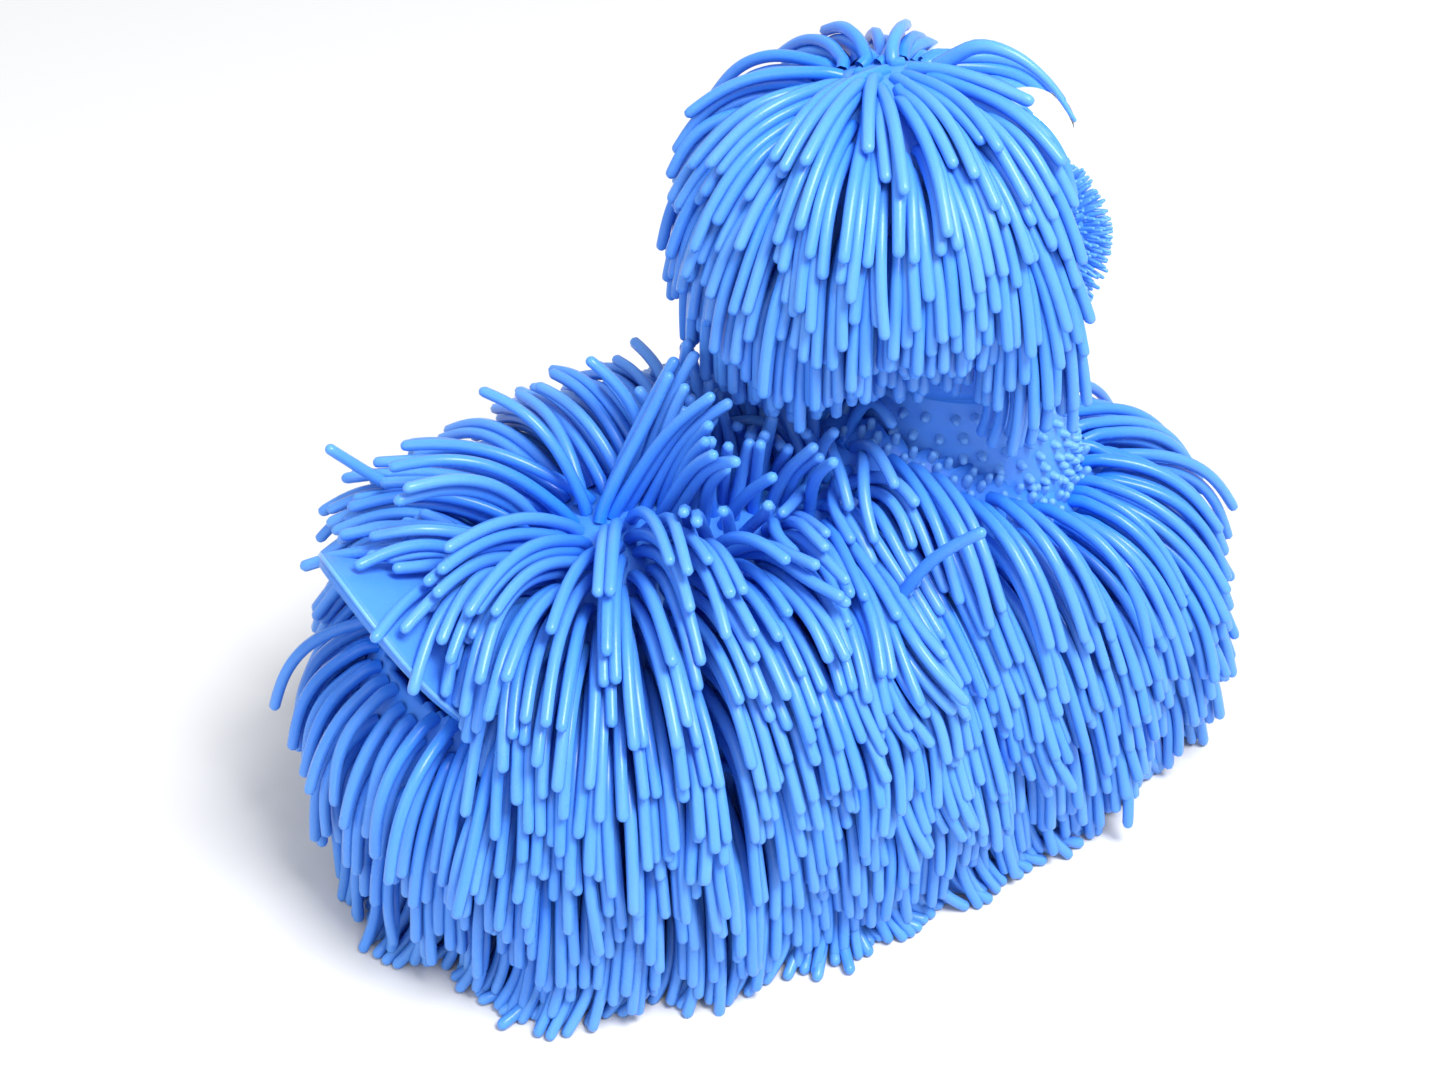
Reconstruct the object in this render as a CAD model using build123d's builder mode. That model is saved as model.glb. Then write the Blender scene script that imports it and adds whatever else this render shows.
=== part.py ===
"""A shaggy rubber hand puppet with a moving mouth, lying on its belly with its head raised.

Millimetres. +X is forward, towards the face, +Y is the puppet's left and +Z is up.
The origin is on the floor, under the middle of the whole puppet.
Skins are hollow rubber shells. Each mass of moulded strands is one closed solid on its skin.
"""
from build123d import *
import os

# Rubber and clearances
WALL = 3.0
THIN_WALL = 2.2  # muzzle and jaw
LAY_GAP = 0.3  # between a skin and the strands or pieces that lie on it
SIDE_GAP = 0.3  # between neighbouring masses of strands
RUN_GAP = 0.4  # between neck bands that turn in each other

# Body, each profile a list of (x, radius) about a lengthwise axis
BODY_AXIS_Z = 39.0
BODY_PROFILE = [(-82, 24), (-66, 38), (-30, 45), (20, 45), (60, 39), (84, 20)]
COAT_AXIS_Z = 28.0
COAT_PROFILE = [(-97.5, 36), (-80, 54), (-40, 62), (20, 61), (66, 53), (97.5, 32)]
BARREL_END = 8.0  # how far each rounded end runs past its last radius
RUMP_X, CHEST_X = -50.0, 40.0  # where flank strands meet rump and chest strands
SPINE_REAR_X, SPINE_FRONT_X, SPINE_HALF, SPINE_LOW_Z = -62.0, 12.0, 16.0, 70.0

# Hand cuff, as (x, half width, top) of its outer arch; its foot is flat
CUFF_ARCHES = [(-58, 20, 78), (-76, 24, 83), (-95, 27, 93)]
CUFF_FOOT_Z = 66.0
CUFF_LEG = 2.0
CUFF_WALL = 2.4
CUFF_FREE_X, CUFF_FREE_HALF, CUFF_FREE_Z = -60.0, 28.5, 60.0  # strands end here round the cuff

# Neck, about an upright axis
NECK_X = 47.0
NECK_BASE_Z, NECK_BEND_Z, NECK_TOP_Z = 64.0, 74.0, 96.5
NECK_BASE_RADIUS, NECK_TOP_RADIUS = 27.2, 25.2
HEAD_PIVOT_Z = 86.0
BAND_HALF = 1.5  # half the height of each nested neck band
BEAD_RADIUS = 22.0  # inside of the neck's thick bead, round the bands
BAND_WALL = 1.2
PASSAGE = 16.0  # the hand's way up the neck
THROAT_NARROW = 17.6
THROAT_FLARE_Z, THROAT_TOP_Z, THROAT_TOP_RADIUS = 91.0, 106.0, 23.0

# Head
SKULL_X, SKULL_Z, SKULL_RADIUS = 34.0, 134.0, 30.0
HAIR_Z, HAIR_RADIUS, HAIR_HEM_Z = 130.0, 44.0, 113.0
BACK_X = 14.0
FORELOCK_X, FORELOCK_HALF, FORELOCK_LOW_Z = 40.0, 24.0, 160.0
FACE_X, FACE_HALF, FACE_TOP_Z = 58.0, 26.0, 140.0  # left bare of long strands
EYE_X, EYE_Y, EYE_Z, EYE_RADIUS = 54.0, 12.0, 153.0, 9.5
PUPIL_BALL, PUPIL_OFFSET = 6.0, 4.4  # the pupil is a cap of a smaller ball, set forward in the eye
PAINT_GAP = 0.1
GAZE = (0.85, 0.12, 0.45)  # the left eye's; the right eye mirrors it

# Muzzle and mouth
MUZZLE_X, MUZZLE_Z, MUZZLE_RADIUS = 62.0, 120.0, 17.3
BRISTLE = 3.6
HINGE_X, HINGE_Z = 51.5, 115.0
FOLD_RADIUS, FOLD_HALF = 1.8, 13.0
LIP_Z, LIP_GAP = 115.4, 0.8  # top of the jaw, and the closed mouth's gap
LINING = 1.6  # palate and mouth floor
LINING_RADIUS, LINING_REAR_X = 14.4, 54.0
NOTCH_X, NOTCH_HALF, NOTCH_LOW_Z = 49.2, 22.0, 92.0  # where the jaw hangs in the head
CHIN_REAR_X = 56.0
POCKET_HALF, POCKET_TOP_Z = 15.2, 130.0  # the fingers' way into the muzzle

FAR = 400.0


def save(piece, name):
    """Labels a finished piece and writes its STEP file."""
    piece.label = name
    export_step(piece, f"parts/{name}.step")


def upright(x, z):
    """The middle plane of the puppet, with its own zero at x, z."""
    return Plane(origin=(x, 0, z), x_dir=(1, 0, 0), z_dir=(0, -1, 0))


def block(x0, x1, half_y, z0, z1):
    """A box between two X and two Z values, centred on the puppet's middle plane."""
    centre = Pos((x0 + x1) / 2, 0, (z0 + z1) / 2)
    return centre * Box(x1 - x0, 2 * half_y, z1 - z0, mode=Mode.PRIVATE)


def side_block(x0, x1, side, near_y, z0, z1):
    """A box on one side of the middle plane, from near_y outwards; side is 1 for left, -1 for right."""
    centre = Pos((x0 + x1) / 2, side * (near_y + FAR / 2), (z0 + z1) / 2)
    return centre * Box(x1 - x0, FAR, z1 - z0, mode=Mode.PRIVATE)


def ball(x, y, z, radius):
    """A ball by its centre and radius."""
    return Pos(x, y, z) * Sphere(radius, mode=Mode.PRIVATE)


def barrel(profile, axis_z, grow=0.0):
    """A barrel of cones turned about a lengthwise axis, grown by an even amount, flat at both ends."""
    shoulder = [(x, radius + grow) for x, radius in profile]
    tail = (profile[0][0] - BARREL_END - grow, 0)
    tail_edge = (tail[0], profile[0][1] / 2 + grow)
    nose = (profile[-1][0] + BARREL_END + grow, 0)
    nose_edge = (nose[0], profile[-1][1] / 2 + grow)
    with BuildPart(mode=Mode.PRIVATE) as solid:
        with BuildSketch(upright(0, axis_z)):
            with BuildLine():
                Polyline(tail, tail_edge, *shoulder, nose_edge, nose, close=True)
            make_face()
        revolve(axis=Axis((0, 0, axis_z), (1, 0, 0)))
    return solid.part


def turned(*outline):
    """A solid turned about the neck's axis from a closed outline of (radius, z) corners."""
    with BuildPart(mode=Mode.PRIVATE) as solid:
        with BuildSketch(upright(NECK_X, 0)):
            with BuildLine():
                Polyline(*outline, close=True)
            make_face()
        revolve(axis=Axis((NECK_X, 0, 0), (0, 0, 1)))
    return solid.part


def neck_plug(radius):
    """A round plug where the neck stands, from inside the body upwards."""
    low = NECK_BASE_Z - WALL
    return turned((0, low), (radius, low), (radius, NECK_TOP_Z), (0, NECK_TOP_Z))


def ring(inner, outer):
    """A plain ring at the head's pivot height."""
    low, high = HEAD_PIVOT_Z - BAND_HALF, HEAD_PIVOT_Z + BAND_HALF
    return turned((inner, low), (outer, low), (outer, high), (inner, high))


def ball_ring(inner, outer):
    """A ring whose outside is part of a ball about the head's pivot, so it can tilt in the next ring."""
    return ring(inner, outer + 1) & ball(NECK_X, 0, HEAD_PIVOT_Z, outer)


def arch_tunnel(inset, leg=CUFF_LEG):
    """The hand cuff as a filled arch on short straight legs, its surface moved in by inset."""
    with BuildPart(mode=Mode.PRIVATE) as solid:
        for x, half_width, top in CUFF_ARCHES:
            with BuildSketch(Plane.YZ.offset(x)):
                with BuildLine():
                    width, rise = half_width - inset, top - inset - CUFF_FOOT_Z
                    arch = EllipticalCenterArc((0, CUFF_FOOT_Z), width, rise, 0, arc_size=180)
                    foot_z = CUFF_FOOT_Z - leg
                    Polyline(arch @ 1, (-width, foot_z), (width, foot_z), arch @ 0)
                make_face()
        loft()
    return solid.part


os.makedirs("parts", exist_ok=True)

# Shared solids
below_floor = block(-FAR, FAR, FAR, -FAR, 0)
body_outer = barrel(BODY_PROFILE, BODY_AXIS_Z)
body_cavity = barrel(BODY_PROFILE, BODY_AXIS_Z, -WALL)
body_clear = barrel(BODY_PROFILE, BODY_AXIS_Z, LAY_GAP)
neck_hole_radius = NECK_BASE_RADIUS + RUN_GAP
skull_outer = ball(SKULL_X, 0, SKULL_Z, SKULL_RADIUS)
skull_cavity = ball(SKULL_X, 0, SKULL_Z, SKULL_RADIUS - WALL)
skull_clear = ball(SKULL_X, 0, SKULL_Z, SKULL_RADIUS + LAY_GAP)
muzzle_outer = ball(MUZZLE_X, 0, MUZZLE_Z, MUZZLE_RADIUS)
muzzle_cavity = ball(MUZZLE_X, 0, MUZZLE_Z, MUZZLE_RADIUS - THIN_WALL)
bristle_outer = ball(MUZZLE_X, 0, MUZZLE_Z, MUZZLE_RADIUS + LAY_GAP + BRISTLE)
bristle_inner = ball(MUZZLE_X, 0, MUZZLE_Z, MUZZLE_RADIUS + LAY_GAP)
above_mouth = block(-FAR, FAR, FAR, LIP_Z + LIP_GAP, FAR)
jaw_space = block(LINING_REAR_X, FAR, FAR, -FAR, LIP_Z)
jaw_notch = block(NOTCH_X, FAR, NOTCH_HALF, NOTCH_LOW_Z, LIP_Z + LIP_GAP)
finger_way = block(NOTCH_X, FAR, POCKET_HALF, NOTCH_LOW_Z, POCKET_TOP_Z)


# ---- Body: skin, cuff and strands ----
with BuildPart() as body_skin:
    add(body_outer)
    add(body_cavity, mode=Mode.SUBTRACT)
    add(body_outer & block(-FAR, FAR, FAR, 0, WALL))
    add(below_floor, mode=Mode.SUBTRACT)
    add(neck_plug(neck_hole_radius), mode=Mode.SUBTRACT)
    add(arch_tunnel(CUFF_WALL), mode=Mode.SUBTRACT)
save(body_skin.part, "body_skin")

with BuildPart() as hand_cuff:
    add(arch_tunnel(0))
    add(arch_tunnel(CUFF_WALL, CUFF_LEG + 1), mode=Mode.SUBTRACT)
    add(body_clear, mode=Mode.SUBTRACT)
save(hand_cuff.part, "hand_cuff")

with BuildPart() as coat:
    add(barrel(COAT_PROFILE, COAT_AXIS_Z))
    add(below_floor, mode=Mode.SUBTRACT)
    add(body_clear, mode=Mode.SUBTRACT)
    add(neck_plug(neck_hole_radius + LAY_GAP), mode=Mode.SUBTRACT)
    add(block(-FAR, CUFF_FREE_X, CUFF_FREE_HALF, CUFF_FREE_Z, FAR), mode=Mode.SUBTRACT)

spine_space = block(SPINE_REAR_X, SPINE_FRONT_X, SPINE_HALF, SPINE_LOW_Z, FAR)
spine_clear = block(SPINE_REAR_X - SIDE_GAP, SPINE_FRONT_X + SIDE_GAP, SPINE_HALF + SIDE_GAP, SPINE_LOW_Z, FAR)

with BuildPart() as spine_strands:
    add(coat.part)
    add(spine_space, mode=Mode.INTERSECT)
save(spine_strands.part, "spine_strands")

COAT_SPANS = {
    "rump": (-FAR, RUMP_X - SIDE_GAP),
    "flank": (RUMP_X, CHEST_X - SIDE_GAP),
    "chest": (CHEST_X, FAR),
}
SIDES = {"left": 1, "right": -1}

for region, (rear_x, front_x) in COAT_SPANS.items():
    for side_name, side in SIDES.items():
        with BuildPart() as strands:
            add(coat.part)
            add(side_block(rear_x, front_x, side, SIDE_GAP / 2, -FAR, FAR), mode=Mode.INTERSECT)
            add(spine_clear, mode=Mode.SUBTRACT)
        save(strands.part, f"{region}_strands_{side_name}")


# ---- Neck: the flexing sleeve and the bands in it ----
with BuildPart() as neck_skin:
    add(turned(
        (NECK_BASE_RADIUS - WALL, NECK_BASE_Z),
        (NECK_BASE_RADIUS, NECK_BASE_Z),
        (NECK_BASE_RADIUS, NECK_BEND_Z),
        (NECK_TOP_RADIUS, NECK_TOP_Z),
        (NECK_TOP_RADIUS - THIN_WALL, NECK_TOP_Z),
        (NECK_TOP_RADIUS - THIN_WALL, HEAD_PIVOT_Z + 2 * BAND_HALF),
        (BEAD_RADIUS, HEAD_PIVOT_Z + BAND_HALF),
        (BEAD_RADIUS, HEAD_PIVOT_Z - BAND_HALF),
        (NECK_BASE_RADIUS - WALL, HEAD_PIVOT_Z - 2 * BAND_HALF),
    ))
save(neck_skin.part, "neck_skin")

band_radius = BEAD_RADIUS - RUN_GAP
upper_ring_radius = band_radius - BAND_WALL - RUN_GAP
throat_ball_radius = upper_ring_radius - BAND_WALL - RUN_GAP

with BuildPart() as upper_neck_band:
    add(ring(band_radius - BAND_WALL, band_radius))
save(upper_neck_band.part, "upper_neck_band")

with BuildPart() as upper_neck_ring:
    add(ball_ring(upper_ring_radius - BAND_WALL, upper_ring_radius))
save(upper_neck_ring.part, "upper_neck_ring")


# ---- Head: skin, muzzle, mouth, eyes and strands ----
with BuildPart() as head_skin:
    add(skull_outer)
    add(turned((0, HEAD_PIVOT_Z), (THROAT_NARROW, HEAD_PIVOT_Z), (THROAT_NARROW, THROAT_FLARE_Z),
               (THROAT_TOP_RADIUS, THROAT_TOP_Z), (0, THROAT_TOP_Z + WALL)))
    add(ball_ring(PASSAGE / 2, throat_ball_radius))
    add(skull_cavity, mode=Mode.SUBTRACT)
    add(turned((0, HEAD_PIVOT_Z - WALL), (PASSAGE, HEAD_PIVOT_Z - WALL), (PASSAGE, THROAT_FLARE_Z),
               (THROAT_TOP_RADIUS - THIN_WALL, THROAT_TOP_Z), (0, SKULL_Z)), mode=Mode.SUBTRACT)
    add(jaw_notch, mode=Mode.SUBTRACT)
    add(finger_way, mode=Mode.SUBTRACT)
save(head_skin.part, "head_skin")

with BuildPart() as muzzle_skin:
    add(muzzle_outer)
    add(muzzle_cavity, mode=Mode.SUBTRACT)
    add(above_mouth, mode=Mode.INTERSECT)
    add(skull_clear, mode=Mode.SUBTRACT)
save(muzzle_skin.part, "muzzle_skin")

with BuildPart() as muzzle_bristles:
    add(bristle_outer)
    add(bristle_inner, mode=Mode.SUBTRACT)
    add(above_mouth, mode=Mode.INTERSECT)
    add(skull_clear, mode=Mode.SUBTRACT)
save(muzzle_bristles.part, "muzzle_bristles")


def mouth_lining(low_z):
    """A flat lining of the mouth, round at the front and straight at the hinge."""
    with BuildPart(mode=Mode.PRIVATE) as lining:
        with BuildSketch(Plane.XY.offset(low_z)):
            with Locations((MUZZLE_X, 0)):
                Circle(LINING_RADIUS)
        extrude(amount=LINING)
        add(block(LINING_REAR_X, FAR, FAR, -FAR, FAR), mode=Mode.INTERSECT)
        add(ball(MUZZLE_X, 0, MUZZLE_Z, MUZZLE_RADIUS - THIN_WALL - LAY_GAP), mode=Mode.INTERSECT)
    return lining.part


with BuildPart() as palate:
    add(mouth_lining(LIP_Z + LIP_GAP))
save(palate.part, "palate")

with BuildPart() as mouth_fold:
    with BuildSketch(upright(HINGE_X, HINGE_Z)):
        Circle(FOLD_RADIUS)
    extrude(amount=FOLD_HALF, both=True)
save(mouth_fold.part, "mouth_fold")

gaze = Vector(*GAZE).normalized() * PUPIL_OFFSET
with BuildPart() as eye:
    add(ball(EYE_X, EYE_Y, EYE_Z, EYE_RADIUS))
    add(skull_clear, mode=Mode.SUBTRACT)

with BuildPart() as pupil:
    add(ball(EYE_X + gaze.X, EYE_Y + gaze.Y, EYE_Z + gaze.Z, PUPIL_BALL))
    add(ball(EYE_X, EYE_Y, EYE_Z, EYE_RADIUS + PAINT_GAP), mode=Mode.SUBTRACT)

save(eye.part, "eye_left")
save(pupil.part, "pupil_left")
save(eye.part.mirror(Plane.XZ), "eye_right")
save(pupil.part.mirror(Plane.XZ), "pupil_right")

eye_clear_radius = PUPIL_OFFSET + PUPIL_BALL + LAY_GAP
with BuildPart() as head_coat:
    add(ball(SKULL_X, 0, HAIR_Z, HAIR_RADIUS))
    add(skull_clear, mode=Mode.SUBTRACT)
    add(block(-FAR, FAR, FAR, -FAR, HAIR_HEM_Z), mode=Mode.SUBTRACT)
    add(block(FACE_X, FAR, FACE_HALF, -FAR, FACE_TOP_Z), mode=Mode.SUBTRACT)
    add(jaw_notch, mode=Mode.SUBTRACT)
    add(ball(MUZZLE_X, 0, MUZZLE_Z, MUZZLE_RADIUS + BRISTLE + 2 * LAY_GAP), mode=Mode.SUBTRACT)
    for side in SIDES.values():
        add(ball(EYE_X, side * EYE_Y, EYE_Z, eye_clear_radius), mode=Mode.SUBTRACT)

forelock_space = block(FORELOCK_X, FAR, FORELOCK_HALF, FORELOCK_LOW_Z, FAR)
forelock_clear = block(FORELOCK_X - SIDE_GAP, FAR, FORELOCK_HALF + SIDE_GAP, FORELOCK_LOW_Z, FAR)

with BuildPart() as forelock_strands:
    add(head_coat.part)
    add(forelock_space, mode=Mode.INTERSECT)
save(forelock_strands.part, "forelock_strands")

with BuildPart() as head_strands_back:
    add(head_coat.part)
    add(block(-FAR, BACK_X - SIDE_GAP, FAR, -FAR, FAR), mode=Mode.INTERSECT)
save(head_strands_back.part, "head_strands_back")

for side_name, side in SIDES.items():
    with BuildPart() as strands:
        add(head_coat.part)
        add(side_block(BACK_X, FAR, side, SIDE_GAP / 2, -FAR, FAR), mode=Mode.INTERSECT)
        add(forelock_clear, mode=Mode.SUBTRACT)
    save(strands.part, f"head_strands_{side_name}")


# ---- Jaw: skin, bristles and mouth floor ----
with BuildPart() as jaw_skin:
    add(muzzle_outer)
    add(muzzle_cavity, mode=Mode.SUBTRACT)
    add(jaw_space, mode=Mode.INTERSECT)
save(jaw_skin.part, "jaw_skin")

with BuildPart() as chin_bristles:
    add(bristle_outer)
    add(bristle_inner, mode=Mode.SUBTRACT)
    add(jaw_space, mode=Mode.INTERSECT)
    add(block(-FAR, CHIN_REAR_X, FAR, -FAR, FAR), mode=Mode.SUBTRACT)
save(chin_bristles.part, "chin_bristles")

with BuildPart() as mouth_floor:
    add(mouth_lining(LIP_Z - LINING))
save(mouth_floor.part, "mouth_floor")
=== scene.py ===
"""The looks of a shaggy rubber hand puppet: relaxed moulded strands, bare neck with nubs, bristled muzzle."""
import math

import bpy
import numpy as np
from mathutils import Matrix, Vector


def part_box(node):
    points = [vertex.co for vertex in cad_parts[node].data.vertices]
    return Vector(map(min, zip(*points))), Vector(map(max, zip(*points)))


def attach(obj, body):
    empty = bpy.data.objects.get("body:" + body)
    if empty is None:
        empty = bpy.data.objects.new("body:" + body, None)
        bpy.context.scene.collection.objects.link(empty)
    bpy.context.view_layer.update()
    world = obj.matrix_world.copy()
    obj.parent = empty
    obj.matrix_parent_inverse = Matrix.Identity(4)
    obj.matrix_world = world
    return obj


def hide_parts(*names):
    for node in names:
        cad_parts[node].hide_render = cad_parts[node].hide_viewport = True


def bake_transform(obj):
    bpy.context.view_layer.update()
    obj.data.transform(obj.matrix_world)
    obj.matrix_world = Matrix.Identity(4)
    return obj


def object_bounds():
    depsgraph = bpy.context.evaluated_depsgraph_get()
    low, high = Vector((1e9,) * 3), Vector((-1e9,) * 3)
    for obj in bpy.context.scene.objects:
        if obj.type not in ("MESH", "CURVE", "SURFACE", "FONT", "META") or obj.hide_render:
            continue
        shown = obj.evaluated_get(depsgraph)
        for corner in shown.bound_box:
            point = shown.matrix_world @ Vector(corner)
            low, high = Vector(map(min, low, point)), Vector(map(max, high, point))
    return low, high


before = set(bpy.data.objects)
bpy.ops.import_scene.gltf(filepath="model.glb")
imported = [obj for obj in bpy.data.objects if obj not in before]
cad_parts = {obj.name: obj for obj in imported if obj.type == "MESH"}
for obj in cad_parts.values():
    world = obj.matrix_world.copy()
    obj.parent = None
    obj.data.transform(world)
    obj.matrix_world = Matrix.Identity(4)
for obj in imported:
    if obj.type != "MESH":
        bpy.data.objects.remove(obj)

cad_low, cad_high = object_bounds()
MM = 0.001
rng = np.random.default_rng(7)

# ---- Places and sizes, in millimetres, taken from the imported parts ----


def box_mm(node):
    """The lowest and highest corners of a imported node, in millimetres."""
    low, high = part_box(node)
    return np.array(low) / MM, np.array(high) / MM


body_low, body_high = box_mm("body_skin")
head_low, head_high = box_mm("head_skin")
jaw_low, jaw_high = box_mm("jaw_skin")
lip_low = box_mm("muzzle_skin")[0]
neck_low, neck_high = box_mm("neck_skin")
eye_low, eye_high = box_mm("eye_left")

STRAND_RADIUS = 1.3
BODY_CENTRE = np.array([(body_low[0] + body_high[0]) / 2, 0, body_high[2] - body_high[1]])
BODY_HALF = np.array([(body_high[0] - body_low[0]) / 2, body_high[1], body_high[1]])
BODY_POWER = 2.6
SKULL = np.array([head_low[0] + head_high[1] - 2.5, 0, head_high[2] - head_high[1]])
SKULL_RADIUS = head_high[1] + 2
NECK = np.array([(neck_low[0] + neck_high[0]) / 2, 0, 0])
NECK_RADIUS = (neck_high[0] - neck_low[0]) / 2
MUZZLE_RADIUS = box_mm("muzzle_skin")[1][1]
MUZZLE = np.array([jaw_high[0] - MUZZLE_RADIUS + 0.7, 0, jaw_low[2] + MUZZLE_RADIUS])
LIP_Z = jaw_high[2]
EYE_RADIUS = 9.5
EYE = np.array([eye_high[0] - EYE_RADIUS, (eye_low[1] + eye_high[1]) / 2, eye_high[2] - EYE_RADIUS])


# ---- Materials ----


def new_material(name):
    """An empty node material and its shader."""
    material = bpy.data.materials.new(name)
    material.use_nodes = True
    return material, material.node_tree, material.node_tree.nodes["Principled BSDF"]


def rubber(name, colour, painted_shade, roughness=0.27, scatter=0.25):
    """Soft satin rubber: its colour drifts a little over the puppet, and a per-point attribute paints it
    darker, towards a painted shade colour, at strand roots and on skins that lie in shade.
    """
    material, tree, shader = new_material(name)
    nodes, links = tree.nodes, tree.links
    place = nodes.new("ShaderNodeTexCoord")
    drift = nodes.new("ShaderNodeTexNoise")
    drift.inputs["Scale"].default_value = 35
    drift.inputs["Detail"].default_value = 3
    grain = nodes.new("ShaderNodeTexNoise")
    grain.inputs["Scale"].default_value = 1800
    grain.inputs["Detail"].default_value = 2
    tone_and_shade = nodes.new("ShaderNodeAttribute")
    tone_and_shade.attribute_name = "tone_and_shade"
    blend = nodes.new("ShaderNodeMix")
    blend.data_type = "RGBA"
    blend.inputs["A"].default_value = (*painted_shade, 1)
    blend.inputs["B"].default_value = (*colour, 1)
    wobble = nodes.new("ShaderNodeMath")
    wobble.operation = "MULTIPLY_ADD"
    wobble.inputs[1].default_value = 0.35
    bump = nodes.new("ShaderNodeBump")
    bump.inputs["Strength"].default_value = 0.12
    bump.inputs["Distance"].default_value = 0.0002
    shine = nodes.new("ShaderNodeMapRange")
    shine.inputs["To Min"].default_value = roughness - 0.06
    shine.inputs["To Max"].default_value = roughness + 0.1
    for texture in (drift, grain):
        links.new(place.outputs["Object"], texture.inputs["Vector"])
    links.new(drift.outputs["Fac"], wobble.inputs[0])
    links.new(tone_and_shade.outputs["Fac"], wobble.inputs[2])
    links.new(wobble.outputs[0], blend.inputs["Factor"])
    links.new(blend.outputs["Result"], shader.inputs["Base Color"])
    links.new(grain.outputs["Fac"], bump.inputs["Height"])
    links.new(bump.outputs["Normal"], shader.inputs["Normal"])
    links.new(drift.outputs["Fac"], shine.inputs["Value"])
    links.new(shine.outputs["Result"], shader.inputs["Roughness"])
    shader.inputs["Subsurface Weight"].default_value = scatter
    shader.inputs["Subsurface Radius"].default_value = (0.2, 0.5, 1.0)
    shader.inputs["Subsurface Scale"].default_value = 0.003
    shader.inputs["IOR"].default_value = 1.45
    shader.inputs["Specular IOR Level"].default_value = 0.4
    return material


# AZURE is the rubber's lit colour; the second colour is a painted shade colour, for the crowded gaps between
# strands and for skins in shade.
AZURE, PAINTED_SHADE_AZURE = (0.125, 0.335, 0.76), (0.006, 0.17, 0.80)
strand_rubber = rubber("strand_rubber", AZURE, PAINTED_SHADE_AZURE)
skin_rubber = rubber("skin_rubber", AZURE, PAINTED_SHADE_AZURE, roughness=0.42)


# ---- Mesh help ----


def mesh_piece(name, points, faces, material, tone_and_shade=None):
    """A smooth-shaded mesh object from points in millimetres, with an optional level for each point of random
    variation and painted shade.
    """
    mesh = bpy.data.meshes.new(name)
    mesh.from_pydata((np.asarray(points) * MM).tolist(), [], faces)
    mesh.polygons.foreach_set("use_smooth", [True] * len(mesh.polygons))
    values = np.full(len(points), 0.6) if tone_and_shade is None else np.asarray(tone_and_shade)
    mesh.attributes.new("tone_and_shade", "FLOAT", "POINT").data.foreach_set("value", values.astype(np.float32))
    mesh.materials.append(material)
    mesh.update()
    piece = bpy.data.objects.new(name, mesh)
    bpy.context.scene.collection.objects.link(piece)
    return piece


def unit(v):
    """Vectors scaled to length one."""
    return v / np.maximum(np.linalg.norm(v, axis=-1, keepdims=True), 1e-9)


# ---- Skins that strands grow from and lie on ----


SHOULDER_RISE, SHOULDER_WIDTH = 11.5, 9.0  # the body swells up round the foot of the neck


def shoulder(p):
    """How far the body skin rises at a place near the neck: not in front of it, most beside and behind it."""
    away = np.hypot(p[..., 0] - NECK[0], p[..., 1])
    reach = np.maximum(away - NECK_RADIUS, 0)
    upper = np.clip((p[..., 2] - BODY_CENTRE[2]) / 20, 0, 1)
    rearward = np.clip(0.75 - 0.75 * (p[..., 0] - NECK[0]) / (away + 1e-9), 0, 1)
    return SHOULDER_RISE * np.exp(-(reach / SHOULDER_WIDTH) ** 2) * upper * rearward


def body_level(p):
    """Signed distance from the body skin, near enough for laying strands, and its outward direction."""
    q = (p - BODY_CENTRE) / BODY_HALF
    length, girth = np.abs(q[..., 0]), np.hypot(q[..., 1], q[..., 2])
    level = (length ** BODY_POWER + girth ** BODY_POWER) ** (1 / BODY_POWER)
    along = np.sign(q[..., 0]) * (length / level) ** (BODY_POWER - 1) / BODY_HALF[0]
    round_ = (girth / level) ** (BODY_POWER - 1) / BODY_HALF[1]
    across = unit(q[..., 1:])
    slope = np.stack([along, round_ * across[..., 0], round_ * across[..., 1]], -1)
    size = np.linalg.norm(slope, axis=-1)
    return (level - 1) / size - 0.85 * shoulder(p), slope / size[..., None]


def skull_level(p):
    """Signed distance from the skull and its outward direction."""
    out = p - SKULL
    size = np.linalg.norm(out, axis=-1)
    return size - SKULL_RADIUS, out / size[..., None]


def body_surface(x_share, angle):
    """A point of the body skin, from its place along the body (-1 to 1) and its angle from the spine."""
    x_share, angle = np.broadcast_arrays(x_share, angle)
    girth = (1 - np.abs(x_share) ** BODY_POWER) ** (1 / BODY_POWER)
    side = np.stack([x_share, girth * np.sin(angle), girth * np.cos(angle)], -1)
    place = BODY_CENTRE + BODY_HALF * side
    place[..., 2] += shoulder(place)
    return place


# ---- Strands: rooted, combed, then relaxed so that they lie on each other ----

STRAND_POINTS = 13
SMOOTHINGS = 9
SHIFT_SMOOTHINGS = 3  # spreads each push along the strand, as rubber does
ALIGN = 0.4  # how strongly touching strands lie the same way
WIDEST = cad_high[1] / MM + 10.0  # no strand, however stray, reaches further to a side
WEIGHT, STIFFNESS = 0.38, 0.30  # per round, in millimetres and as a share of the bend


def comb(roots, normals, fall, lengths, level, lift, lean):
    """First guess at each strand: it leaves the skin, leans the way it is combed and drops."""
    step = (lengths / (STRAND_POINTS - 1))[:, None]
    direction = unit(normals + lean * fall)
    points = [roots, roots + direction * step]
    for k in range(2, STRAND_POINTS):
        pull = np.array([0, 0, -1.0]) * (0.30 * (1 - lift))[:, None] + fall * 0.22
        direction = unit(direction + pull)
        new = points[-1] + direction * step
        depth, out = level(new)
        new = new + out * np.maximum(3.0 - depth, 0)[:, None]
        direction = unit(new - points[-1])
        points.append(points[-1] + direction * step)
    return np.stack(points, 1)


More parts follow.
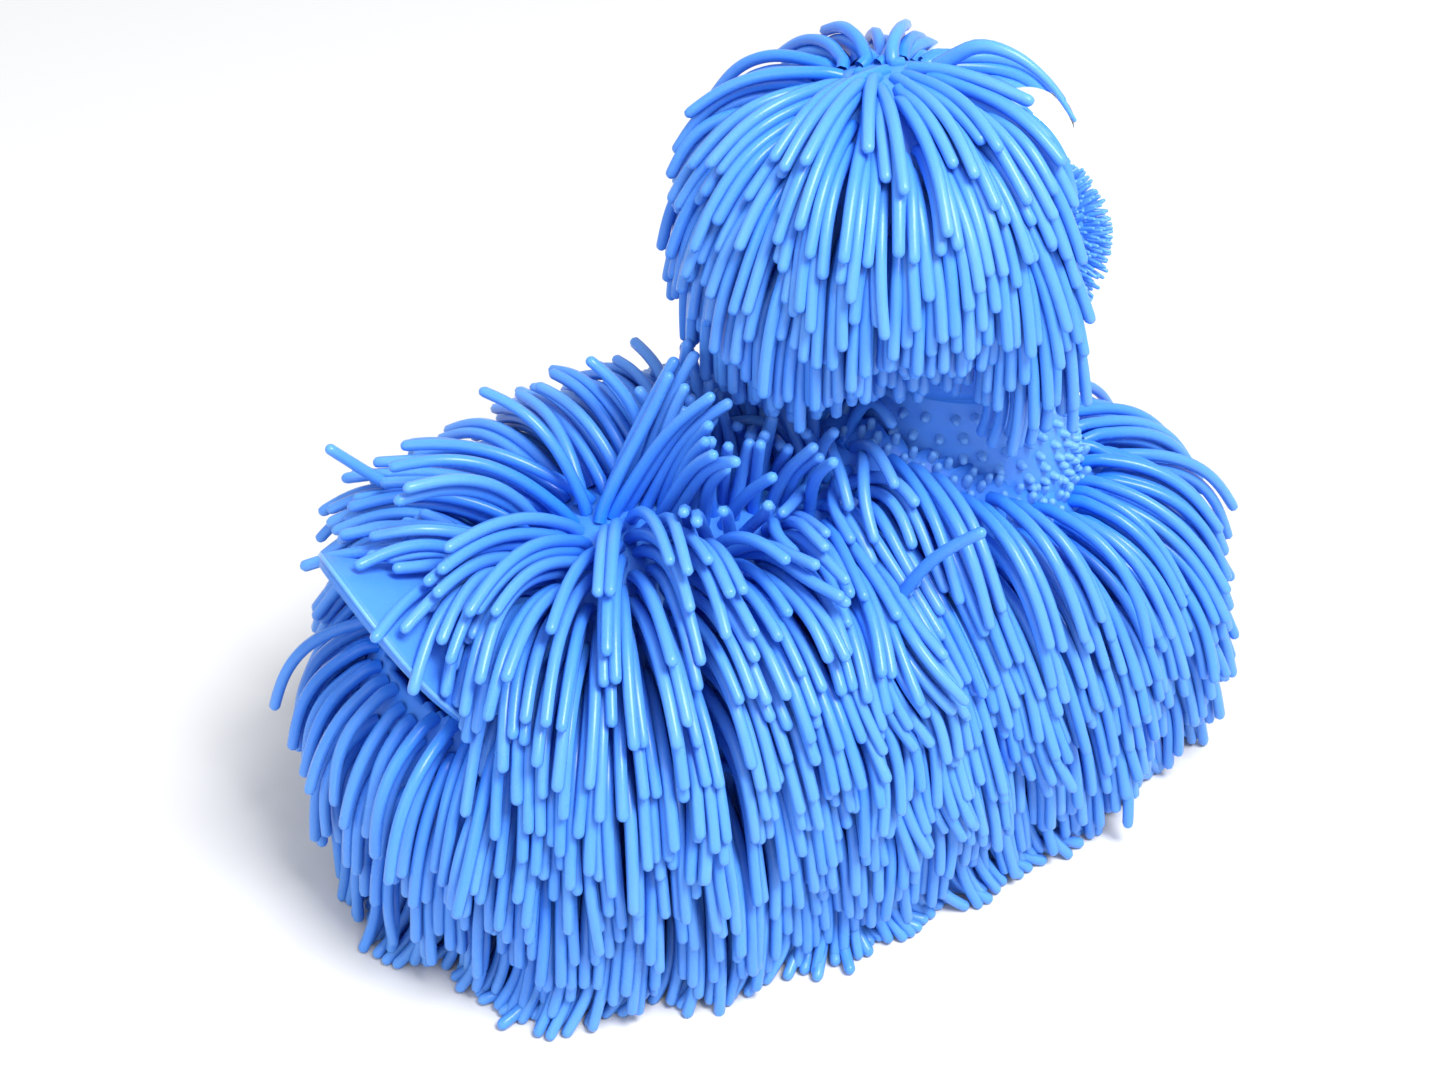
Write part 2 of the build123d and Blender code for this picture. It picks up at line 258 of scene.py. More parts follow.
def close_pairs(points, owner, reach):
    """Pairs of points of different strands that are nearer than reach, found on a grid."""
    cell = np.floor(points / reach).astype(np.int64) + 512
    key = (cell[:, 0] * 1024 + cell[:, 1]) * 1024 + cell[:, 2]
    order = np.argsort(key, kind="stable")
    keys = key[order]
    count = len(points)
    found = []
    for dx in (-1, 0, 1):
        for dy in (-1, 0, 1):
            for dz in (-1, 0, 1):
                shift = (dx * 1024 + dy) * 1024 + dz
                if shift < 0:
                    continue
                low = np.searchsorted(keys, key + shift, "left")
                high = np.searchsorted(keys, key + shift, "right")
                many = high - low
                total = int(many.sum())
                a = np.repeat(np.arange(count), many)
                b = order[np.repeat(low - np.cumsum(many) + many, many) + np.arange(total)]
                keep = owner[a] != owner[b]
                if shift == 0:
                    keep &= a < b
                a, b = a[keep], b[keep]
                near = ((points[a] - points[b]) ** 2).sum(1) < reach * reach
                found.append(np.stack([a[near], b[near]]))
    return np.concatenate(found, 1)


def relax(strands, lengths, weight, align, levels, rounds, hug, floor=0.0):
    """Lets the strands sag under their weight, bend like rubber and push each other apart."""
    count = len(strands)
    points = strands.copy()
    step = (lengths / (STRAND_POINTS - 1))[:, None]
    owner = np.repeat(np.arange(count), STRAND_POINTS)
    weight = weight[:, None]
    align = align[:, None, None]
    spread = 2 * STRAND_RADIUS
    loose = np.arange(STRAND_POINTS) >= 2
    free = np.tile(loose, count)
    hold = np.repeat(hug, STRAND_POINTS)
    for turn in range(rounds):
        easing = 1 - 0.6 * turn / rounds
        points[:, 2:, 2] -= weight * easing
        for k in range(2, STRAND_POINTS):
            straight = 2 * points[:, k - 1] - points[:, k - 2]
            points[:, k] += STIFFNESS * (straight - points[:, k])
        flat = points.reshape(-1, 3)
        if turn % 4 == 0:
            pairs = close_pairs(flat, owner, spread * 1.35)
        a, b = pairs
        gap = flat[a] - flat[b]
        apart = np.linalg.norm(gap, axis=1) + 1e-9
        push = np.maximum(spread - apart, 0) * 0.5
        move = gap / apart[:, None] * push[:, None]
        touch = push > 0
        hits = np.bincount(a[touch], minlength=len(flat)) + np.bincount(b[touch], minlength=len(flat))
        shift = np.stack([
            np.bincount(a, move[:, i], len(flat)) - np.bincount(b, move[:, i], len(flat))
            for i in range(3)
        ], 1)
        shift = (shift / np.maximum(hits, 1)[:, None] * free[:, None]).reshape(points.shape)
        way = unit(np.diff(points, axis=1, prepend=2 * points[:, :1] - points[:, 1:2]))
        near_way = way.reshape(-1, 3)
        total = way.reshape(-1, 3) + np.stack([
            np.bincount(a, near_way[b, i], len(flat)) + np.bincount(b, near_way[a, i], len(flat))
            for i in range(3)
        ], 1)
        shift += align * (unit(total).reshape(points.shape) - way) * (step[:, None] * loose[None, :, None])
        for _ in range(SHIFT_SMOOTHINGS):
            shift[:, 2:-1] = 0.5 * shift[:, 2:-1] + 0.25 * (shift[:, 1:-2] + shift[:, 3:])
            shift[:, -1] = 0.6 * shift[:, -1] + 0.4 * shift[:, -2]
        flat = flat + 1.8 * shift.reshape(-1, 3)
        for k, level in enumerate(levels):
            depth, out = level(flat)
            if k == 0:
                flat = flat - out * (hold * easing * free * (depth > STRAND_RADIUS + 1))[:, None]
            flat = flat + out * (np.maximum(STRAND_RADIUS + 0.3 - depth, 0) * free)[:, None]
        flat[:, 1] = np.clip(flat[:, 1], -WIDEST, WIDEST)
        flat[:, 2] = np.maximum(flat[:, 2], floor + STRAND_RADIUS)
        points = flat.reshape(points.shape)
        for k in range(2, STRAND_POINTS):
            points[:, k] = points[:, k - 1] + unit(points[:, k] - points[:, k - 1]) * step
    for _ in range(SMOOTHINGS):
        points[:, 2:-1] = 0.5 * points[:, 2:-1] + 0.25 * (points[:, 1:-2] + points[:, 3:])
    return points


def smooth_line(points, times):
    """Strand centre lines with more points, on Catmull-Rom curves through the relaxed ones."""
    before = 2 * points[:, :1] - points[:, 1:2]
    after = 2 * points[:, -1:] - points[:, -2:-1]
    padded = np.concatenate([before, points, after], 1)
    p0, p1, p2, p3 = (padded[:, i:i + points.shape[1] - 1] for i in range(4))
    parts = []
    for t in np.arange(times) / times:
        parts.append(0.5 * (2 * p1 + (p2 - p0) * t + (2 * p0 - 5 * p1 + 4 * p2 - p3) * t ** 2
                            + (3 * p1 - p0 - 3 * p2 + p3) * t ** 3))
    fine = np.stack(parts, 2).reshape(len(points), -1, 3)
    return np.concatenate([fine, points[:, -1:]], 1)


TIP_RINGS = 3


def strand_mesh(name, lines, radii, tone_and_shade_levels, material, sides=7, taper=0.15):
    """Round-tipped tubes along the lines, as one piece."""
    count, rings = lines.shape[:2]
    tangents = unit(np.gradient(lines, axis=1))
    helper = np.where(np.abs(tangents[:, :1, 2:3]) > 0.9, [[[1.0, 0, 0]]], [[[0, 0, 1.0]]])
    normals = np.empty_like(lines)
    normal = unit(np.cross(tangents[:, 0], helper[:, 0]))
    for k in range(rings):
        normal = unit(normal - tangents[:, k] * (normal * tangents[:, k]).sum(-1, keepdims=True))
        normals[:, k] = normal
    binormals = np.cross(tangents, normals)
    along = np.linspace(0, 1, rings)
    radius = radii[:, None] * (1.1 - taper * along)
    tip_turn = np.linspace(0, math.pi / 2, TIP_RINGS + 1)[1:]
    tip_radius = radius[:, -1:]
    tip_centres = lines[:, -1:] + tangents[:, -1:] * (tip_radius * np.sin(tip_turn))[..., None]
    centres = np.concatenate([lines, tip_centres], 1)
    radius = np.concatenate([radius, tip_radius * np.maximum(np.cos(tip_turn), 0.02)], 1)
    normals = np.concatenate([normals, np.repeat(normals[:, -1:], TIP_RINGS, 1)], 1)
    binormals = np.concatenate([binormals, np.repeat(binormals[:, -1:], TIP_RINGS, 1)], 1)
    total = rings + TIP_RINGS
    turn = np.arange(sides) / sides * 2 * math.pi
    ring = (centres[:, :, None] + radius[:, :, None, None]
            * (normals[:, :, None] * np.cos(turn)[:, None] + binormals[:, :, None] * np.sin(turn)[:, None]))
    points = ring.reshape(-1, 3)
    base = (np.arange(count) * total * sides)[:, None, None]
    row = (np.arange(total - 1) * sides)[None, :, None]
    side = np.arange(sides)[None, None, :]
    after = (side + 1) % sides
    quads = np.stack([base + row + side, base + row + after, base + row + sides + after,
                      base + row + sides + side], -1).reshape(-1, 4)
    share = np.concatenate([along, np.ones(TIP_RINGS)])
    # Painted shade: each strand is painted darker at its root, where crowded strands shade each other, and
    # lighter towards its tip.
    tone_and_shade = tone_and_shade_levels[:, None] + 0.5 * share ** 0.7
    tone_and_shade = np.repeat(tone_and_shade, sides, 1).reshape(-1)
    ends = [(s + 1) * total * sides for s in range(count)]
    caps = [list(range(end - sides, end)) for end in ends]
    piece = mesh_piece(name, points, quads.tolist() + caps, material, tone_and_shade)
    unroll_strands(piece, count, total, sides)
    return piece


def unroll_strands(piece, count, rings, sides):
    """A UV layer with each strand unrolled in a cell of its own."""
    columns = math.ceil(math.sqrt(2 * count))
    rows = math.ceil(count / columns)
    cell = np.stack([np.arange(count) % columns, np.arange(count) // columns], -1)[:, None, None, None]
    ring, side = np.meshgrid(np.arange(rings - 1), np.arange(sides), indexing="ij")
    corner = np.stack([
        np.stack([side + right, ring + up], -1) for right, up in ((0, 0), (1, 0), (1, 1), (0, 1))
    ], 2) / [sides, rings + 1]
    walls = (cell + 0.04 + 0.92 * corner[None]) / [columns, rows]
    turn = np.arange(sides) / sides * 2 * math.pi
    cap = np.stack([0.5 + 0.03 * np.cos(turn), 0.95 + 0.01 * np.sin(turn)], -1)
    tops = (cell[:, 0, 0] + cap[None]) / [columns, rows]
    layer = piece.data.uv_layers.new(name="OFBake")
    layer.data.foreach_set("uv", np.concatenate([walls.reshape(-1), tops.reshape(-1)]).astype(np.float32))


MAX_STRANDS = 500  # in one piece


def strand_pieces(node, body, mine, lines, radii, tone_and_shade_levels):
    """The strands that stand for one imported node, in batches from rear to front."""
    members = np.flatnonzero(mine)
    members = members[np.argsort(lines[members, 0, 0])]
    batches = np.array_split(members, math.ceil(len(members) / MAX_STRANDS))
    for k, batch in enumerate(batches):
        name = "soft_" + node + (f"_{k + 1}" if len(batches) > 1 else "")
        piece = strand_mesh(name, lines[batch], radii[batch], tone_and_shade_levels[batch], strand_rubber)
        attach(piece, body)
        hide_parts(node)


def scatter_body(spacing):
    """Strand roots over the body skin in staggered rows, a little uneven."""
    roots = []
    for x in np.arange(-0.985, 0.99, spacing / BODY_HALF[0] * 0.87):
        girth = (1 - abs(x) ** BODY_POWER) ** (1 / BODY_POWER) * BODY_HALF[1]
        many = max(int(2 * math.pi * girth / spacing), 5)
        angles = (np.arange(many) + rng.uniform(0, 1)) / many * 2 * math.pi - math.pi
        angles = angles + rng.normal(0, 0.12 * spacing / max(girth, 3), many)
        xs = x + rng.normal(0, 0.12 * spacing / BODY_HALF[0], many)
        roots.append(body_surface(np.clip(xs, -0.995, 0.995), angles))
    return np.concatenate(roots)


CUFF_REACH = 22.0  # half the width of the strip that the cuff covers
NECK_MARGIN = 3.0  # bare skin round the foot of the neck
BODY_SPACING, BODY_STRAND_LENGTH = 4.2, (34, 45)
WHORL = np.array([-33.0, 5, 0])  # strands behind it are combed away from it, over the cuff
roots = scatter_body(BODY_SPACING)
in_neck = (np.hypot(roots[:, 0] - NECK[0], roots[:, 1]) < NECK_RADIUS + NECK_MARGIN) & (roots[:, 2] > 50)
in_cuff = (roots[:, 0] < -64) & (np.abs(roots[:, 1]) < CUFF_REACH) & (roots[:, 2] > 62)
roots = roots[~in_neck & ~in_cuff & (roots[:, 2] > 6)]
normals = body_level(roots)[1]
parting = 5 * np.clip((10 - roots[:, 0]) / 30, 0, 1)
side = np.sign(roots[:, 1] - parting + rng.normal(0, 1.5, len(roots)))
height = np.clip((roots[:, 2] - BODY_CENTRE[2]) / BODY_HALF[2], -1, 1)
lengthwise = np.clip((roots[:, 0] + 5) / 75, -1.2, 1.2)
end_share = np.clip(np.abs(roots[:, 0]) / 20 - 3, 0, 1)
sideways = side * (1 - end_share) + np.clip(roots[:, 1] / 40, -1, 1) * end_share
sideways = sideways * (0.35 + 0.65 * np.clip(height, 0, 1))
fall = np.stack([0.75 * lengthwise, sideways, -0.4 * (1 - height)], -1)
fall = unit(fall + rng.normal(0, 0.13, fall.shape))
on_top = roots[:, 2] > 60
whorl = (roots - WHORL + rng.normal(0, 4, roots.shape)) * [1, 1, 0]
fringe = (np.clip((WHORL[0] + 16 - roots[:, 0]) / 14, 0, 1) * np.clip((roots[:, 2] - 50) / 8, 0, 1))[:, None]
fall = unit(fall * (1 - fringe) + unit(whorl) * [1, 0.8, 1] * fringe)
from_neck = (roots - NECK) * [1, 1, 0]
beside_neck = np.clip((NECK_RADIUS + 22 - np.linalg.norm(from_neck, axis=1)) / 12, 0, 1) * on_top
fall = unit(fall + unit(from_neck) * [0.6, 1, 0] * 1.2 * beside_neck[:, None])
under_cuff = np.clip((-66 - roots[:, 0]) / 8, 0, 1) * np.clip((64 - roots[:, 2]) / 6, 0, 1)
fall = unit(fall + under_cuff[:, None] * [0.1, 0, -0.9])
lengths = rng.uniform(*BODY_STRAND_LENGTH, len(roots))
to_floor = 11 + 0.95 * roots[:, 2]
lengths = np.minimum(lengths, to_floor + rng.uniform(-3, 3, len(roots)))
lengths = lengths * (1 - 0.2 * under_cuff)
ridge = np.exp(-((roots[:, 1] - parting) / 6) ** 2) * on_top
fall = unit(fall + rng.normal(0, 0.45, fall.shape) * ridge[:, None])
tangle = np.exp(-((roots[:, 0] + 3) / 24) ** 4 - ((roots[:, 1] + 5) / 17) ** 4) * on_top
stray = rng.random(len(roots)) < 0.012
loose = np.maximum(tangle, stray)
lift = 0.85 * tangle + 0.2 * stray - 0.8 * under_cuff - 0.6 * beside_neck
fall = unit(fall * (1 - 0.9 * loose)[:, None] + rng.normal(0, 0.7, fall.shape) * loose[:, None])
lengths = lengths * (1 - 0.48 * tangle)


def neck_level(p):
    """Signed distance from the neck, above the body, and its outward direction."""
    out = p - NECK
    out = out * np.array([1, 1, 0])
    size = np.linalg.norm(out, axis=-1) + 1e-9
    inside = np.where((p[..., 2] > 60) & (p[..., 2] < 100), size - NECK_RADIUS, 10.0)
    return inside, out / size[..., None]


CUFF_FOOT_X = -66.0  # where the cuff's edge leaves the body
CUFF_FLARE = 29.0  # how far the top of that edge reaches back
CUFF_ROOT_X = -57.0


def cuff_point(share, turn):
    """A point of the cuff's outside: share runs from its root to its free edge, turn from foot to foot."""
    share, turn = np.broadcast_arrays(share, turn)
    rise = np.maximum(np.sin(turn), 0)
    edge_x = CUFF_FOOT_X - CUFF_FLARE * np.sqrt(rise)
    edge = np.stack([edge_x, 24.5 * np.cos(turn), 59 + 34 * np.sin(turn)], -1)
    root = np.stack([CUFF_ROOT_X - 6 * (1 - rise), 21 * np.cos(turn), 58 + 21 * np.sin(turn)], -1)
    inward = np.stack([0 * turn, -np.cos(turn), -np.sin(turn)], -1)
    return root + (edge - root) * share[..., None] + inward * 1.5 * np.sin(math.pi * share)[..., None]


def cuff_level(p):
    """Signed distance from the outside of the cuff, near enough, and its outward direction."""
    share = (CUFF_ROOT_X - p[..., 0]) / (CUFF_FLARE + 9)
    half, rise = 21 + 3.5 * share, 21 + 13 * share
    across, up = p[..., 1] / half, (p[..., 2] - 58.5) / rise
    size = np.hypot(across, up) + 1e-9
    edge = CUFF_FOOT_X - CUFF_FLARE * np.sqrt(np.clip(up / size, 0, 1))
    out = unit(np.stack([0 * across, across / half, up / rise], -1))
    there = (share > 0) & (p[..., 0] > edge) & (up > 0)
    return np.where(there, (size - 1) * 0.5 * (half + rise), 10.0), out


fringe_turns = np.concatenate([np.arange(0.3, math.pi - 0.3, 0.13) + 0.05 * row for row in range(3)])
fringe_shares = np.repeat([0.06, 0.17, 0.28], len(fringe_turns) // 3)
fringe_roots = cuff_point(fringe_shares, fringe_turns)
fringe_out = np.stack([0 * fringe_turns - 0.3, np.cos(fringe_turns), np.sin(fringe_turns)], -1)
fringe_fall = unit(np.stack([0 * fringe_turns - 1, 0.9 * np.cos(fringe_turns), 0 * fringe_turns - 0.35], -1))
fringe_count = len(fringe_turns)
roots = np.concatenate([roots, fringe_roots])
normals = np.concatenate([normals, unit(fringe_out)])
fall = np.concatenate([fall, unit(fringe_fall + rng.normal(0, 0.15, fringe_fall.shape))])
lengths = np.concatenate([lengths, rng.uniform(16, 24, fringe_count)])
lift, loose, tangle, beside_neck, under_cuff = (
    np.concatenate([values, np.zeros(fringe_count)])
    for values in (lift, loose, tangle, beside_neck, under_cuff)
)
rounds = 160
start = comb(roots, normals, fall, lengths, body_level, lift,
             (0.75 * (1 - 0.7 * tangle) + 0.8 * beside_neck + 0.4 * under_cuff)[:, None])
hug = 0.08 * np.clip((62 - roots[:, 2]) / 30, 0, 1)
strands = relax(start, lengths, WEIGHT * (1 - lift), ALIGN * (1 - loose),
                (body_level, neck_level, cuff_level), rounds, hug)
lines = smooth_line(strands, 2)
radii = rng.uniform(0.96, 1.04, len(roots)) * STRAND_RADIUS
tone_and_shade_levels = rng.uniform(-0.08, 0.12, len(roots))

rump_x, chest_x = box_mm("flank_strands_left")[0][0], box_mm("flank_strands_left")[1][0]
spine_low, spine_high = box_mm("spine_strands")
spine = (np.abs(roots[:, 1]) < spine_high[1]) & (roots[:, 0] > spine_low[0]) & (roots[:, 0] < spine_high[0])
spine &= roots[:, 2] > 60
left = roots[:, 1] > 0
regions = {"spine_strands": spine}
for region, inside in (("rump", roots[:, 0] < rump_x), ("chest", roots[:, 0] > chest_x),
                       ("flank", (roots[:, 0] >= rump_x) & (roots[:, 0] <= chest_x))):
    regions[f"{region}_strands_left"] = inside & left & ~spine
    regions[f"{region}_strands_right"] = inside & ~left & ~spine
for node, mine in regions.items():
    strand_pieces(node, "body", mine, lines, radii, tone_and_shade_levels)


# ---- Head strands ----


def scatter_skull(spacing):
    """Strand roots over the skull in rings round its crown."""
    found = []
    for polar in np.arange(0.04, 2.35, spacing / SKULL_RADIUS * 0.87):
        many = max(int(2 * math.pi * SKULL_RADIUS * math.sin(polar) / spacing), 3)
        turn = (np.arange(many) + rng.uniform(0, 1)) / many * 2 * math.pi
        turn = turn + rng.normal(0, 0.1 * spacing / (SKULL_RADIUS * math.sin(polar) + 2), many)
        tilt = polar + rng.normal(0, 0.1 * spacing / SKULL_RADIUS, many)
        found.append(SKULL + SKULL_RADIUS * np.stack(
            [np.sin(tilt) * np.cos(turn), np.sin(tilt) * np.sin(turn), np.cos(tilt)], -1))
    return np.concatenate(found)


HEAD_SPACING, HEAD_STRAND_LENGTH = 4.3, (23, 37)
STUB_LENGTH = (4, 6.5)  # under the hem, where a longer strand would hang below it
CROWN = np.array([SKULL[0] + 1, 10, 0])  # the hair is combed away from here
CROWN_TUFT = 9.0  # strands this near the crown lie every way
# How low the hair hangs, by the angle from the face: a lock on each cheek, short behind it, long at the back
HEM_ANGLES = [0.0, 0.8, 1.1, 1.45, 1.6, 2.15, 2.5, 3.15]
HEM_HEIGHTS = [140, 122, 99, 101, 128, 128, 114, 108]
head_roots = scatter_skull(HEAD_SPACING)
face = (head_roots[:, 0] > SKULL[0] + 14) & (head_roots[:, 2] < EYE[2] + 6) & (np.abs(head_roots[:, 1]) < 28)
eye_gap = np.minimum(np.linalg.norm(head_roots - EYE, axis=1),
                     np.linalg.norm(head_roots - EYE * [1, -1, 1], axis=1))
under = np.hypot(head_roots[:, 0] - NECK[0], head_roots[:, 1]) < NECK_RADIUS - 2
head_roots = head_roots[~face & (eye_gap > EYE_RADIUS + 2) & ~(under & (head_roots[:, 2] < SKULL[2] - 12))]
head_normals = skull_level(head_roots)[1]
head_fall = (head_roots - CROWN) * [1, 1, 0]
crowded = np.exp(-(np.linalg.norm(head_fall, axis=1) / CROWN_TUFT) ** 4)[:, None]
any_way = unit(rng.normal(0, 1, head_fall.shape) * [1, 1, 0])
head_fall = unit(head_fall) * (1 - crowded) + any_way * crowded
head_fall = unit(head_fall + rng.normal(0, 0.12, head_fall.shape))
around = np.abs(np.arctan2(head_roots[:, 1], head_roots[:, 0] - SKULL[0]))
hem = np.interp(around, HEM_ANGLES, HEM_HEIGHTS)
head_lengths = rng.uniform(*HEAD_STRAND_LENGTH, len(head_roots))
head_lengths = np.minimum(head_lengths, head_roots[:, 2] - hem + rng.uniform(4, 10, len(head_roots)))
low_down = head_lengths < 13
head_lengths = np.where(low_down, rng.uniform(*STUB_LENGTH, len(head_roots)), head_lengths)
kept = ~low_down | (head_roots[:, 0] < SKULL[0] + 10)
head_roots, head_normals, head_fall = head_roots[kept], head_normals[kept], head_fall[kept]
head_lengths = head_lengths[kept]
HEAD_SAG, HEAD_HUG = 1.3, 0.05


def muzzle_level(p):
    """Signed distance from the bristled muzzle and its outward direction."""
    out = p - MUZZLE
    size = np.linalg.norm(out, axis=-1)
    return size - MUZZLE_RADIUS - 3.5, out / size[..., None]


head_start = comb(head_roots, head_normals, head_fall, head_lengths, skull_level, np.zeros(len(head_roots)),
                  (1.6 + 2.5 * (head_normals[:, 2] > 0.85))[:, None])
even = np.ones(len(head_roots))
head_strands = relax(head_start, head_lengths, WEIGHT * HEAD_SAG * even, ALIGN * even,
                     (skull_level, muzzle_level, neck_level), rounds, HEAD_HUG * even)
head_lines = smooth_line(head_strands, 2)
head_radii = rng.uniform(0.96, 1.04, len(head_roots)) * STRAND_RADIUS
head_tones = rng.uniform(-0.08, 0.12, len(head_roots))
back_x = box_mm("head_strands_back")[1][0]
forelock_low, forelock_high = box_mm("forelock_strands")
forelock = (head_roots[:, 0] > forelock_low[0]) & (np.abs(head_roots[:, 1]) < forelock_high[1])
forelock &= head_roots[:, 2] > 150
back = head_roots[:, 0] < back_x
head_left = head_roots[:, 1] > 0
for node, mine in {"forelock_strands": forelock, "head_strands_back": back,
                   "head_strands_left": head_left & ~back & ~forelock,
                   "head_strands_right": ~head_left & ~back & ~forelock}.items():
    strand_pieces(node, "head", mine, head_lines, head_radii, head_tones)


# ---- Skins ----


def grid_faces(rows, columns, closed):
    """Quads of a grid of points laid out row by row; closed joins the last column to the first."""
    faces = []
    for r in range(rows - 1):
        for c in range(columns if closed else columns - 1):
            d = (c + 1) % columns
            faces.append((r * columns + c, r * columns + d, (r + 1) * columns + d, (r + 1) * columns + c))
    return faces


def skin_piece(name, node, body, points, faces, wall, tone_and_shade=0.45):
    """A rubber skin with a wall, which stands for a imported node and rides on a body."""
    # The level given sets how far the skin is painted towards the shade colour: skins that lie in shade get
    # low levels, as painted shade.
    piece = mesh_piece(name, points, faces, skin_rubber, np.full(len(points), tone_and_shade))
    if wall:
        shell = piece.modifiers.new("wall", "SOLIDIFY")
        shell.thickness = wall * MM
        shell.offset = -1
    if body:
        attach(piece, body)
    if node:
        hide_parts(node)
    return piece


def body_skin():
    """The body skin, flat underneath, open at the neck and under the cuff."""
    shares = -np.cos(np.linspace(0.02, math.pi - 0.02, 110))
    angles = np.linspace(-math.pi, math.pi, 97)[:-1]
    grid = body_surface(shares[:, None], angles[None, :])
    points = grid.reshape(-1, 3)
    centre = points.copy()
    points[:, 2] = np.maximum(points[:, 2], 0.02)
    neck_hole = (np.hypot(centre[:, 0] - NECK[0], centre[:, 1]) < NECK_RADIUS - 1.5) & (centre[:, 2] > 50)
    slit = (centre[:, 0] < -64) & (centre[:, 0] > -84) & (np.abs(centre[:, 1]) < 18) & (centre[:, 2] > 62)
    gone = neck_hole | slit
    faces = [f[::-1] for f in grid_faces(len(shares), len(angles), True) if not gone[list(f)].any()]
    used = sorted({i for f in faces for i in f})
    place = {old: new for new, old in enumerate(used)}
    # The body skin is painted dark, as painted shade in the gaps between the strands that cover it.
    skin_piece("soft_body_skin", "body_skin", "body", points[used],
               [tuple(place[i] for i in f) for f in faces], 2.6, tone_and_shade=0.2)


def hand_cuff():
    """The flared hood over the hand slit, with the thin moulding line round its free edge."""
    rows, columns = 22, 61
    share, turn = np.linspace(0, 1, rows)[:, None], np.linspace(-0.1, math.pi + 0.1, columns)[None]
    grid = cuff_point(share, turn)
    skin_piece("soft_hand_cuff", "hand_cuff", "body", grid.reshape(-1, 3),
               [f[::-1] for f in grid_faces(rows, columns, False)], 2.2, tone_and_shade=0.3)
    # The moulding line is painted light, as a painted highlight along the cuff's free edge.
    edge = strand_mesh("cuff_edge_line", grid[-1:], np.array([0.45]), np.array([0.9]), strand_rubber,
                       taper=0.0)
    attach(edge, "body")


def neck_radius(z):
    """Outer radius of the bare neck at a height."""
    return np.interp(z, [60, 72, 80, 86, 98, 104], [29.5, 29.0, 27.4, 26.2, 24.8, 24.2])


def neck_point(z, turn, proud=0.0):
    """A point of the neck skin from its height and its angle round the neck."""
    z, turn = np.broadcast_arrays(z, turn)
    radius = neck_radius(z) + proud
    return np.stack([NECK[0] + radius * np.cos(turn), radius * np.sin(turn), z], -1)


NUB_RADIUS = 1.05


def nubs(name, low_z, high_z, spacing):
    """Small round nubs in staggered rows on a stretch of the neck."""
    spots = []
    for row, z in enumerate(np.arange(low_z + spacing / 3, high_z, spacing * 0.87)):
        many = int(2 * math.pi * neck_radius(z) / spacing)
        turns = (np.arange(many) + 0.5 * (row % 2) + rng.normal(0, 0.08, many)) / many * 2 * math.pi
        spots.append(np.stack([np.full(many, z) + rng.normal(0, 0.25, many), turns], -1))
    spots = np.concatenate(spots)
    spots = spots[body_level(neck_point(spots[:, 0], spots[:, 1]))[0] > -0.5]
    foot = neck_point(spots[:, 0], spots[:, 1], -0.4)
    top = neck_point(spots[:, 0], spots[:, 1], 1.0)
    lines = foot[:, None] + (top - foot)[:, None] * np.linspace(0, 1, 3)[None, :, None]
    # The nubs are painted lighter than the neck skin, as painted light on their tops.
    return strand_mesh(name, lines, rng.uniform(0.9, 1.1, len(spots)) * NUB_RADIUS,
                       np.full(len(spots), 0.6), skin_rubber, taper=0.25)


def collar_nubs():
    """Dense nubs on the body skin round the foot of the neck, where the strands begin."""
    foot = scatter_body(3.0)
    reach = np.hypot(foot[:, 0] - NECK[0], foot[:, 1]) - NECK_RADIUS
    foot = foot[(reach > 0.4) & (reach < 5.0) & (foot[:, 2] > 55)]
    out = unit(body_level(foot)[1] + [0, 0, 0.4])
    lines = foot[:, None] + out[:, None] * np.linspace(-0.8, 1.3, 3)[None, :, None]
    # These nubs are painted lighter than the body skin, as painted light on their tops.
    piece = strand_mesh("collar_nubs", lines, rng.uniform(0.85, 1.1, len(foot)) * NUB_RADIUS,
                        np.full(len(foot), 0.5), skin_rubber, taper=0.2)
    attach(piece, "body")


NECK_LEVELS = (62.0, 79.0, 82.0, 91.0, 102.0)


def neck_skins():
    """The bare neck in four stretches, each with its nubs."""
    turns = np.linspace(0, 2 * math.pi, 97)[:-1]
    for k in range(4):
        low, high = NECK_LEVELS[k], NECK_LEVELS[k + 1]
        zs = np.linspace(low, high, 9)
        grid = neck_point(zs[:, None], turns[None, :])
        if k == 3:
            grid[..., 2] -= (high - neck_top(turns)) * ((zs - low) / (high - low))[:, None]
        part = skin_piece(f"soft_neck_{k}", None, None, grid.reshape(-1, 3),
                          grid_faces(len(zs), len(turns), True), 0, tone_and_shade=0.4)
        start_z = low + (2 if k == 0 else 0)
        dots = nubs(f"neck_nubs_{k}", start_z, high - (4 if k == 3 else 0), 3.6 if k == 0 else 5.0)
        for piece in (part, dots):
            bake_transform(piece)
        if k == 0:
            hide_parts("neck_skin")


def ball_grid(centre, radius, keep, rows=64, columns=96):
    """Points and faces of a ball, without the faces whose points fail keep."""
    polar = np.linspace(0.001, math.pi - 0.001, rows)[:, None]
    turns = np.linspace(0, 2 * math.pi, columns + 1)[None, :-1]
    out = np.stack([np.sin(polar) * np.cos(turns), np.sin(polar) * np.sin(turns),
                    np.cos(polar) + 0 * turns], -1)
    points = (centre + radius * out).reshape(-1, 3)
    kept = keep(points)
    faces = [f[::-1] for f in grid_faces(rows, columns, True) if kept[list(f)].all()]
    used = sorted({i for f in faces for i in f})
    place = {old: new for new, old in enumerate(used)}
    return points[used], [tuple(place[i] for i in f) for f in faces]


def smooth_step(value, low, high):
    """0 below low and 1 above high, with a soft change between."""
    share = np.clip((value - low) / (high - low), 0, 1)
    return share * share * (3 - 2 * share)


def neck_top(turns):
    """Height of the neck's upper edge, which dips at the front for the chin."""
    return NECK_LEVELS[-1] - 5.5 * (0.5 + 0.5 * np.cos(turns))


CHIN_BED_X, CHIN_BED_Z = 54.0, 96.0  # the skin between neck and hinge, which the chin rests over


